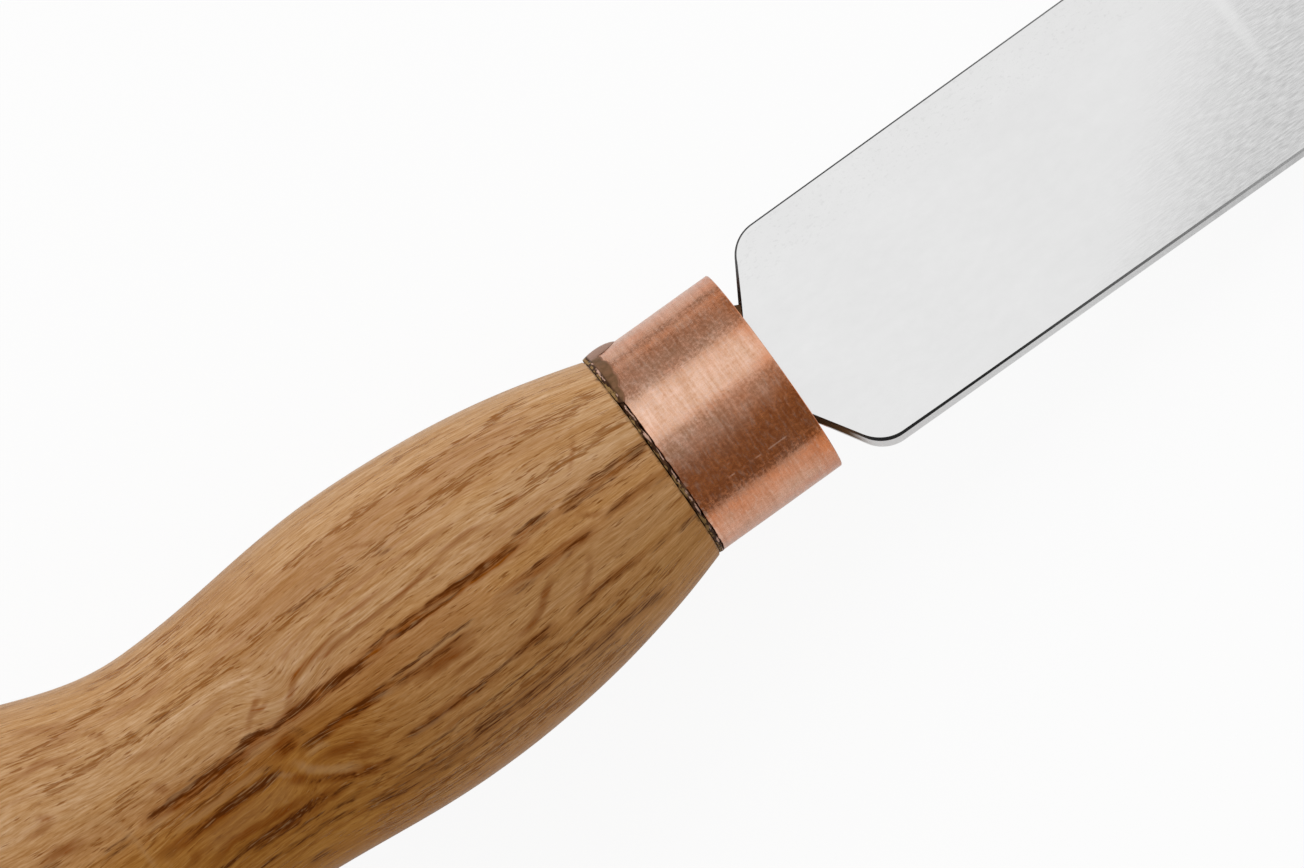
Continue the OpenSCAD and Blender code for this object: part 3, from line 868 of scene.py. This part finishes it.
def paint_figure(handle):
    """Paints the wood's figure on the handle's vertices, for the oak finish to read."""
    seen_from, fade_along, fade_round = 38, 4, 1.5
    along, y, z = vertex_places(handle)
    across = y * math.cos(FACE_ROLL) + z * math.sin(FACE_ROLL)
    facing = z * math.cos(FACE_ROLL) - y * math.sin(FACE_ROLL)
    round_way = np.arctan2(across, facing) * BULB_R / MM
    seen = np.clip(facing / fade_round, 0, 1) * np.clip((along - seen_from) / fade_along, 0, 1)
    # Strokes for the photographed side and for the rest, the length of their faded ends, and their spread
    figures = {
        "dark": (DARK_STROKES, grown_strokes(3, 40, 0.6), 0.7, 1.15),
        "amber": (AMBER_STROKES, grown_strokes(7, 40, 0.9), 2.2, 1.1),
        "pores": (PORE_STROKES, grown_strokes(11, 40, 0.8), 0.9, 1.0),
        "pale": (PALE_STROKES, grown_strokes(19, 16, 0.8), 0.7, 1.0),
    }
    for name, (painted, grown, fade_len, widen) in figures.items():
        cover = seen * stroke_cover(painted, along, across, fade_len, widen)
        cover = np.maximum(cover, (1 - seen) * stroke_cover(grown, along, round_way, fade_len, widen))
        store_painted(handle, name, cover)

    # The grain parts round the knot, more strongly on the blade's side
    ahead = along - KNOT_X
    blade_side = 1 / (1 + np.exp(-ahead / 0.8))
    pinch = (0.6 + 0.7 * blade_side) * np.exp(-((ahead / (3 + 2 * blade_side)) ** 2))
    off = across - KNOT_ACROSS
    store_painted(handle, "drift", seen * off * pinch * np.exp(-((off / 4) ** 2)))


def oiled_oak():
    """Flat-sawn oak: slanted year rings, bands of open pores, painted streaks and a small knot."""
    oak = Finish("oiled_oak")
    tan, honey = rgb(0.515, 0.29, 0.132), rgb(0.49, 0.23, 0.073)
    ring_brown, pore_brown = rgb(0.28, 0.098, 0.018), rgb(0.235, 0.074, 0.009)
    streak, amber = rgb(0.096, 0.0202, 0.0004), rgb(0.22, 0.052, 0.0015)
    rich = rgb(0.41, 0.163, 0.018)
    glue_stain = rgb(0.10, 0.045, 0.012)
    golden, pale = rgb(0.44, 0.205, 0.055), rgb(0.52, 0.30, 0.135)
    ring_spacing, pith_across, pith_below = 1.5, 27.0, 53.0

    # Along the grain, across the photographed side and out of it, as if all wood were as thick as the bulb
    place = oak.millimetres()
    turn = {"Vector": place, "Axis": (1, 0, 0), "Angle": -FACE_ROLL}
    x, v, w = oak.split(oak.node("VectorRotate", turn, rotation_type="AXIS_ANGLE").outputs[0])
    to_bulb = oak.maths("DIVIDE", BULB_R / MM, oak.maths("MAXIMUM", oak.length(v, w), 1.0))
    side_grain = oak.rise(x, 2.0, 14.0)
    swell = oak.plus(1.0, side_grain, oak.less(to_bulb, 1.0))
    v = oak.plus(oak.painted("drift"), v, swell)
    w = oak.times(w, swell)
    v = oak.varied(v, oak.noise(oak.join(x, v, w), (0.09, 0.2, 0.2)), 1.6)
    fibre = oak.join(x, v, w)

    # Year rings round a pith that lies outside the wood
    pith = oak.length(oak.maths("ADD", v, pith_across), oak.maths("ADD", w, pith_below))
    wander = oak.noise(fibre, (0.02, 0.05, 0.05), detail=1.0)
    year = oak.maths("FRACT", oak.plus(oak.maths("DIVIDE", pith, ring_spacing), wander, 1.2))
    early = oak.times(oak.rise(year, 0.6, 0.1), oak.rise(year, 0.0, 0.12))

    # Fibres, pores and the painted streaks, which fray with the fibres
    coarse = oak.noise(fibre, (0.06, 2.0, 2.0), detail=3.0, rough=0.6)
    threads = oak.noise(fibre, (0.11, 4.6, 4.6), rough=0.6)
    hair = oak.noise(fibre, (0.8, 6.6, 6.6), rough=0.6)
    dashes = oak.noise(fibre, (0.6, 4.6, 4.6), rough=0.6)
    patches = oak.noise(fibre, (0.3, 1.5, 1.5))
    stains = oak.noise(fibre, (0.08, 0.6, 0.6))
    broad = oak.noise(fibre, (0.03, 0.22, 0.22))
    flecks = oak.rise(oak.noise(fibre, (1.1, 0.9, 5.0), detail=1.0), 0.62, 0.75)
    dark, stained = oak.painted("dark"), oak.painted("amber")
    crowd = oak.plus(oak.painted("pores"), early, 0.2)
    pores = oak.rise(oak.plus(dashes, crowd, 0.2), 0.6, 0.74)
    ragged = oak.varied(oak.times(oak.centred(hair), 1.7), threads, 1.7)
    cover = oak.times(dark, oak.varied(0.85, patches, 0.7))
    cover = oak.plus(cover, ragged, oak.rise(dark, 0.0, 0.4))
    core = oak.rise(cover, 0.0, 0.9)

    # Colour, from the broadest differences to the finest marks
    heart = oak.varied(v, broad, -12.0)
    colour = oak.blend(oak.rise(heart, 6.0, -6.0), tan, honey)
    colour = oak.blend(oak.times(oak.rise(stains, 0.5, 0.7), 0.4), colour, golden)
    by_knot = oak.times(oak.rise(x, 76.0, 60.0), oak.rise(v, 1.5, -3.0))
    colour = oak.blend(oak.times(by_knot, 0.75), colour, rich)
    colour = oak.blend(oak.times(early, 0.16), colour, ring_brown)
    lines = oak.times(oak.rise(threads, 0.54, 0.68), oak.plus(0.3, stained, 0.4))
    colour = oak.blend(lines, colour, ring_brown)
    colour = oak.blend(oak.times(flecks, 0.1), colour, pale)
    stain = oak.varied(oak.plus(1.0, ragged, 1.1), patches, 0.8)
    colour = oak.blend(oak.times(stained, stain), colour, amber)
    shade = oak.plus(1.0, oak.rise(x, 62.0, 94.0), 0.10)
    for grain, gain in ((coarse, 0.9), (threads, 0.5), (hair, 0.95)):
        shade = oak.varied(shade, grain, gain)
    colour = oak.shaded(colour, shade, (0.85, 1.32, 2.2))
    colour = oak.blend(oak.times(pores, 0.76), colour, pore_brown)
    colour = oak.blend(oak.times(core, 0.96), colour, streak)
    torn = oak.noise(fibre, (0.5, 5.0, 5.0))
    torn = oak.rise(oak.plus(torn, oak.maths("MAXIMUM", dark, crowd), 0.18), 0.66, 0.78)
    bleached = oak.maths("MAXIMUM", oak.times(torn, 0.38), oak.times(oak.painted("pale"), 0.6))
    colour = oak.blend(bleached, colour, pale)
    torn_edge = oak.noise(place, 1.2, detail=3.0, rough=0.6)
    shoulder = SHOULDER_X / MM
    glued = oak.varied(oak.rise(x, shoulder - 0.7, shoulder), torn_edge, 2.0)
    colour = oak.blend(oak.times(oak.rise(glued, 0.75, 1.45), 0.85), colour, glue_stain)

    gloss = oak.plus(oak.plus(0.42, hair, 0.2), pores, 0.2)
    oak.dress({"Base Color": colour, "Roughness": gloss})
    oak.dress({"Specular IOR Level": 0.03, "Sheen Weight": 0.5, "Sheen Roughness": 0.25})
    height = oak.plus(oak.times(hair, 0.5), pores, -0.3)
    height = oak.plus(height, core, -0.4)
    oak.bump(height, 0.06 * MM)
    return oak.material


# Brown bloom round the copper tube, partly real tarnish and partly painted shade: it is heaviest
# along the band that mirrors the dark card and absent where the highlight falls. Degrees from the
# middle of the photographed side towards +Y, and the bloom's share there
BLOOM_AND_SHADE_ROUND = [
    (-180, 0.5), (-110, 0.3), (-72, 0.5), (-62, 0.42), (-50, 0.62), (-42, 0.7), (-35, 1.1), (-27, 1.15),
    (-14, 0.85), (-6, 0.5), (3, 0.45), (9, 0.12), (16, 0.0), (24, 0.1), (33, 0.4), (45, 0.62), (56, 0.62),
    (62, 0.5), (75, 0.5), (110, 0.3), (180, 0.5),
]


def paint_bloom_and_shade(ferrule):
    """Paints the brown bloom, partly painted shade, on the ferrule's vertices, for the copper finish to
    read.
    """
    y, z = vertex_places(ferrule)[1:]
    degrees = np.degrees(np.arctan2(y, z) + FACE_ROLL)
    degrees = (degrees + 180) % 360 - 180
    angles, shares = zip(*BLOOM_AND_SHADE_ROUND)
    store_painted(ferrule, "bloom_and_shade", np.interp(degrees, angles, shares))


def worn_copper():
    """Copper tube: rubbed round its girth and along its length, with a brown bloom that is partly painted
    shade.
    """
    copper = Finish("worn_copper")
    bright, brown = rgb(0.79, 0.50, 0.36), rgb(0.62, 0.192, 0.063)
    polished, burred, scratched = rgb(0.85, 0.62, 0.5), rgb(0.9, 0.56, 0.41), rgb(0.75, 0.5, 0.38)
    rear, rim = TUBE_X / MM, RIM_X / MM
    # Two long scratches: their place across the photographed side, and their start and end along the axis
    scratches = ((-4.62, 99.5, 105.2), (-3.75, 97.2, 100.4))

    place = copper.millimetres()
    x, y, z = copper.split(place)
    rubbed = copper.noise(place, (3.6, 0.22, 0.22), rough=0.6)
    drawn = copper.noise(place, (0.3, 3.2, 3.2), rough=0.6)
    mottle = copper.noise(place, 0.75)
    grains = copper.noise(place, 3.6, rough=0.6)
    clouds = copper.noise(place, 0.32)
    # Bloom: partly real tarnish, partly painted shade where the tube mirrors the dark card
    bloom_and_shade = copper.varied(copper.painted("bloom_and_shade"), mottle, 0.7)
    bloom_and_shade = copper.varied(bloom_and_shade, clouds, 0.6)
    bloom_and_shade = copper.plus(bloom_and_shade, copper.rise(x, rim - 2.2, rim - 0.2), 0.3)
    colour = copper.blend(copper.rise(bloom_and_shade, -0.2, 1.2), bright, brown)
    shade = 1.0
    for marks, gain in ((drawn, 0.25), (rubbed, 0.65), (mottle, 0.5), (grains, 0.6)):
        shade = copper.varied(shade, marks, gain)
    colour = copper.shaded(colour, shade, (0.85, 1.35, 1.9))
    bared = copper.rise(copper.noise(place, (5.5, 1.3, 1.3)), 0.5, 0.75)
    colour = copper.blend(copper.times(bared, 0.25), colour, polished)
    chips = copper.rise(copper.noise(place, 1.6), 0.5, 0.58)
    burr = copper.times(copper.rise(x, rear + 0.45, rear + 0.1), chips)
    colour = copper.blend(copper.times(burr, 0.6), colour, burred)

    # Scratches that lie bare and matt
    round_face = copper.plus(copper.times(y, math.cos(FACE_ROLL)), z, math.sin(FACE_ROLL))
    skip = copper.rise(copper.noise(place, 0.9), 0.46, 0.56)
    bare = 0.0
    for across, start, end in scratches:
        gap = copper.maths("ABSOLUTE", copper.less(round_face, across))
        within = copper.times(copper.rise(x, start, start + 0.4), copper.rise(x, end, end - 0.4))
        scratch = copper.times(within, copper.rise(gap, 0.08, 0.02), skip, copper.rise(z, 0.0, 1.0))
        bare = copper.plus(bare, scratch, 0.5)
    colour = copper.blend(bare, colour, scratched)
    gloss = copper.plus(0.12, copper.rise(grains, 0.4, 0.66), 0.2)
    gloss = copper.plus(gloss, rubbed, 0.12)
    copper.dress({"Base Color": colour, "Metallic": copper.less(1.0, bare), "Roughness": gloss})
    height = copper.plus(copper.plus(rubbed, drawn, 0.2), grains, 0.6)
    copper.bump(height, 0.012 * MM)
    return copper.material


def ground_steel():
    """Polished steel, with short grinding lines that grow towards the bevel."""
    steel = Finish("ground_steel")
    dark_brown = rgb(0.23, 0.14, 0.07)
    rim, bevel = RIM_X / MM, BEVEL_X / MM
    ground_from = bevel - 6.9

    place = steel.millimetres()
    x, y, z = steel.split(place)
    # The polished face, the grinding lines in front, and a painted highlight along the bevel's arris
    lines = steel.noise(steel.join(x, y, 0.0), (1.0, 7.5, 1.0))
    clouds = steel.noise(place, (0.12, 0.25, 0.25), detail=3.0)
    pits = steel.rise(steel.noise(place, (2.6, 4.5, 4.5)), 0.56, 0.72)
    front = steel.less(steel.plus(x, y, -1.2), ground_from)
    front = steel.varied(front, clouds, 8.0)
    # Painted highlight: a band along the bevel's arris is left less ground, so it shows lighter and
    # glossier
    from_arris = steel.maths("ABSOLUTE", steel.less(x, bevel + 0.3))
    arris_highlight = steel.times(steel.rise(from_arris, 0.8, 0.15), steel.rise(y, -5.0, -1.0))
    ground = steel.plus(steel.rise(front, -6.0, 16.0), arris_highlight, -0.35)
    ground = steel.maths("MAXIMUM", ground, 0.0)
    plain = steel.plus(0.79, steel.rise(x, rim + 7.4, ground_from), -0.015)
    dulled = steel.plus(plain, ground, -0.14)
    tone = steel.varied(dulled, lines, steel.times(ground, 0.5))
    tone = steel.varied(tone, clouds, 0.05)
    tone = steel.varied(tone, steel.noise(place, (0.7, 1.2, 1.2), detail=3.0), 0.04)
    high = steel.times(pits, steel.rise(y, 4.5, 8.0))
    tone = steel.plus(tone, high, -0.05)

    # Dark filed flats along the edges, and matt dark brown on the neck's lower side just in front of the
    # rim
    filed = steel.painted("filed")
    filed_tone = steel.plus(0.05, steel.rise(x, rim + 10.4, bevel + 4.1), 0.2)
    filed_tone = steel.plus(filed_tone, steel.rise(y, 2.0, 4.0), 0.07)
    lower = steel.times(steel.rise(y, 0.0, -2.0), steel.rise(x, rim + 12.4, bevel + 6.1))
    filed_tone = steel.plus(filed_tone, lower, 0.5)
    tone = steel.plus(tone, filed, steel.less(filed_tone, tone))
    on_side = steel.maths("MAXIMUM", steel.painted("flank"), steel.times(filed, 0.6))
    by_rim = steel.rise(steel.varied(x, clouds, 2.0), rim + 2.9, rim + 1.7)
    darkened_by_rim = steel.times(on_side, by_rim, steel.rise(z, -1.3, -0.6), steel.rise(y, 1.0, -1.0))
    colour = steel.blend(darkened_by_rim, steel.join(tone, tone, tone), dark_brown)
    gloss = steel.plus(steel.plus(0.06, ground, 0.14), filed, 0.4)
    gloss = steel.plus(gloss, clouds, 0.04)
    steel.dress({"Base Color": colour, "Metallic": steel.less(1.0, darkened_by_rim), "Roughness": gloss})
    steel.dress({"Specular IOR Level": 0.0})
    steel.bump(steel.times(lines, steel.plus(0.05, ground, 0.9)), 0.004 * MM)
    return steel.material


def brown_resin(name, dust):
    """Cured brown resin, thin over the tube; dust is the share of torn fibres and copper burr in it."""
    resin = Finish(name)
    deep, thin = rgb(0.036, 0.014, 0.005), rgb(0.10, 0.044, 0.020)
    murky, cloudy, rosy = rgb(0.125, 0.064, 0.027), rgb(0.20, 0.10, 0.050), rgb(0.34, 0.21, 0.16)
    coppery = rgb(0.33, 0.155, 0.092)
    fibre, burr = rgb(0.36, 0.215, 0.08), rgb(0.72, 0.45, 0.34)
    shoulder, rear, rim, tube_r = SHOULDER_X / MM, TUBE_X / MM, RIM_X / MM, TUBE_R / MM

    place = resin.millimetres()
    x, y, z = resin.split(place)
    clouds = resin.noise(place, 1.6, detail=4.0, rough=0.6)
    curls = resin.noise(place, (3.4, 1.9, 1.9), detail=3.0, rough=0.6)
    shreds = resin.noise(place, (4.6, 1.3, 1.3), detail=3.0, rough=0.6)
    crowded = resin.centred(resin.noise(place, 0.5, detail=1.0))
    past_rear = resin.rise(x, rear - 0.1, rear + 0.1)
    on_tube = resin.times(past_rear, resin.rise(x, rim, rim - 1))
    in_joint = resin.less(1.0, past_rear)
    film = resin.blend(resin.rise(clouds, 0.36, 0.64), murky, cloudy)
    over_tube = resin.varied(resin.less(resin.length(y, z), tube_r), clouds, 0.16)
    edge = resin.times(on_tube, resin.rise(over_tube, 0.08, 0.02))
    film = resin.blend(resin.times(edge, 0.8), film, coppery)
    colour = resin.blend(past_rear, resin.blend(resin.rise(clouds, 0.4, 0.7), deep, thin), film)
    over_rim = resin.times(on_tube, resin.rise(y, tube_r - 0.9, tube_r - 0.4))
    colour = resin.blend(over_rim, colour, rosy)
    by_wood = resin.rise(x, shoulder + 0.5, shoulder)
    torn = resin.varied(resin.times(by_wood, 0.6), curls, 1.6)
    torn = resin.plus(torn, crowded, 0.9)
    torn = resin.times(resin.rise(torn, 0.46, 0.64), dust)
    colour = resin.blend(torn, colour, fibre)
    by_tube = resin.times(resin.rise(x, rear - 0.4, rear), in_joint)
    raised = resin.varied(resin.times(by_tube, 0.45), shreds, 1.6)
    raised = resin.plus(raised, crowded, -0.7)
    raised = resin.times(resin.rise(raised, 0.38, 0.52), in_joint, dust)
    colour = resin.blend(raised, colour, burr)
    resin.dress({"Base Color": colour, "Roughness": resin.plus(0.35, curls, 0.3)})
    resin.dress({"Specular IOR Level": 0.08})
    resin.bump(resin.times(curls, resin.plus(0.2, in_joint, 0.8)), 0.06 * MM)
    return resin.material


def stage_sheet(name, size, place, tilt):
    """A flat sheet that is set up round the tool and isn't part of it."""
    deselect_all()
    bpy.ops.mesh.primitive_plane_add(size=1)
    sheet = bpy.context.object
    sheet.name = name
    sheet.scale = (*size, 1)
    sheet.location = place
    sheet.rotation_euler = tilt
    bpy.ops.object.transform_apply(location=True, rotation=True, scale=True)
    return sheet


def white_floor():
    """A pale floor under the tool at its resting slope: white to the camera, with a soft shadow."""
    stations = [SHOULDER_X - d * MM for d in range(int(WOOD_LEN / MM))]
    slope = max((wood_radius(SHOULDER_X - x) + BACK_Z) / (EDGE_X - x) for x in stations)
    front, back, side = 0.4, 1.2, 1.2
    middle = (front - back) / 2
    place = (EDGE_X + middle, 0, BACK_Z + slope * middle)
    floor = stage_sheet("floor", (front + back, 2 * side), place, (0, -math.atan(slope), 0))
    paper = Finish("white_paper")
    paper.dress({"Base Color": rgb(0.88, 0.88, 0.88), "Roughness": 0.9, "Specular IOR Level": 0.0})
    seen = paper.node("LightPath", {}).outputs
    straight = paper.maths("ADD", seen["Is Camera Ray"], seen["Is Transmission Ray"])
    straight = paper.plus(straight, seen["Is Glossy Ray"], 0.45)
    glow = paper.node("Emission", {"Strength": 1.0}).outputs[0]
    lit = paper.shader.outputs[0]
    whiter = paper.node("MixShader", {0: paper.times(straight, 0.92), 1: lit, 2: glow})
    from_below = paper.node("NewGeometry", {}).outputs["Backfacing"]
    hole = paper.node("BsdfTransparent", {}).outputs[0]
    unseen = paper.times(from_below, seen["Is Camera Ray"])
    shown = paper.node("MixShader", {0: unseen, 1: whiter.outputs[0], 2: hole})
    paper.show(shown.outputs[0])
    floor.data.materials.append(paper.material)


def reflection_card(name, low, high, low_tone, high_tone):
    """A grey card along the tool that only reflections show; low and high are its edges as (y, z)."""
    start, end = -0.6, 0.3
    rise_y, rise_z = high[0] - low[0], high[1] - low[1]
    size = (end - start, math.hypot(rise_y, rise_z))
    place = ((start + end) / 2, (low[0] + high[0]) / 2, (low[1] + high[1]) / 2)
    card = stage_sheet(name, size, place, (math.atan2(rise_z, rise_y), 0, 0))
    grey = Finish(name + "_grey")
    height = grey.split(grey.node("TexCoord", {}).outputs["UV"])[1]
    tone = grey.node("MapRange", {"Value": height, "To Min": low_tone, "To Max": high_tone}).outputs[0]
    glow = grey.node("Emission", {"Strength": tone}).outputs[0]
    grey.show(glow)
    card.data.materials.append(grey.material)
    card.visible_camera = False
    card.visible_diffuse = False
    card.visible_transmission = False
    card.visible_shadow = False


def set_light():
    """A white tent: an even world, a large soft lamp above the upper side, and cards for reflections."""
    world = bpy.data.worlds.new("white_tent")
    bpy.context.scene.world = world
    world.use_nodes = True
    tree = world.node_tree
    sky = next(n for n in tree.nodes if n.type == "BACKGROUND")
    sky.inputs["Color"].default_value = rgb(1, 1, 1)
    path = tree.nodes.new("ShaderNodeLightPath").outputs
    straight = tree.nodes.new("ShaderNodeMath")
    tree.links.new(path["Is Camera Ray"], straight.inputs[0])
    tree.links.new(path["Is Glossy Ray"], straight.inputs[1])
    both = tree.nodes.new("ShaderNodeMath")
    tree.links.new(straight.outputs[0], both.inputs[0])
    tree.links.new(path["Is Transmission Ray"], both.inputs[1])
    level = tree.nodes.new("ShaderNodeMapRange")
    level.inputs["To Min"].default_value = 0.52
    tree.links.new(both.outputs[0], level.inputs["Value"])
    tree.links.new(level.outputs[0], sky.inputs["Strength"])

    lean, reach, wide, level_on_wood = math.radians(49), 0.7, 0.6, 0.56
    lamp = bpy.data.lights.new("soft_key", "AREA")
    lamp.shape = "SQUARE"
    lamp.size = wide
    lamp.energy = level_on_wood * math.pi ** 2 * reach ** 2
    key = bpy.data.objects.new("soft_key", lamp)
    bpy.context.collection.objects.link(key)
    toward = Vector((0, math.sin(lean), math.cos(lean)))
    key.location = Vector((RIM_X, 0, 0)) + reach * toward
    key.rotation_euler = toward.to_track_quat("Z", "Y").to_euler()
    key.visible_camera = False
    key.visible_glossy = False

    reflection_card("dark_card", (-0.22, -0.03), (-0.19, 0.225), 0.24, 0.28)
    reflection_card("overhead_card", (-0.19, 0.225), (0.006, 0.35), 0.28, 0.6)
    reflection_card("low_side_card", (0.03, -0.005), (0.22, -0.02), 0.47, 0.43)
    reflection_card("side_card", (0.22, -0.03), (0.21, 0.185), 0.44, 0.46)


def set_camera():
    """Looks down on the blade's face from the photograph's angle, with the tool rising to the right."""
    distance, sensor = 0.75, 36.0
    photo_width_px, mm_per_px = 1304, 0.0771
    frame_width = photo_width_px * mm_per_px * MM
    rise = math.radians(35.616)
    middle_behind_rim, middle_across = 10.54 * MM, 1.49 * MM
    toward = Vector((
        -math.sin(FACE_TIP),
        -math.cos(FACE_TIP) * math.sin(FACE_ROLL),
        math.cos(FACE_TIP) * math.cos(FACE_ROLL),
    ))
    along = (Vector((1, 0, 0)) - toward.x * toward).normalized()
    across = toward.cross(along)
    right = math.cos(rise) * along - math.sin(rise) * across
    up = math.sin(rise) * along + math.cos(rise) * across
    lens = bpy.data.cameras.new("camera")
    lens.sensor_width = sensor
    lens.lens = sensor * distance / frame_width
    camera = bpy.data.objects.new("camera", lens)
    bpy.context.collection.objects.link(camera)
    target = Vector((RIM_X - middle_behind_rim, 0, 0)) + middle_across * across
    turn = Matrix((right, up, toward)).transposed().to_4x4()
    camera.matrix_world = Matrix.Translation(target + distance * toward) @ turn
    bpy.context.scene.camera = camera


bpy.context.scene.view_settings.view_transform = "Standard"
set_camera()
set_light()
white_floor()

handle = make_handle()
paint_figure(handle)
hand_over(handle, "handle", oiled_oak())
ferrule = make_ferrule()
paint_bloom_and_shade(ferrule)
hand_over(ferrule, "ferrule", worn_copper())
hand_over(make_squeeze_out(), "ferrule_glue", brown_resin("squeezed_resin", 0.8))
blade = make_blade()
hand_over(make_bedding(blade), "tang_bedding", brown_resin("bedding_resin", 0.25))
hand_over(blade, "blade", ground_steel())
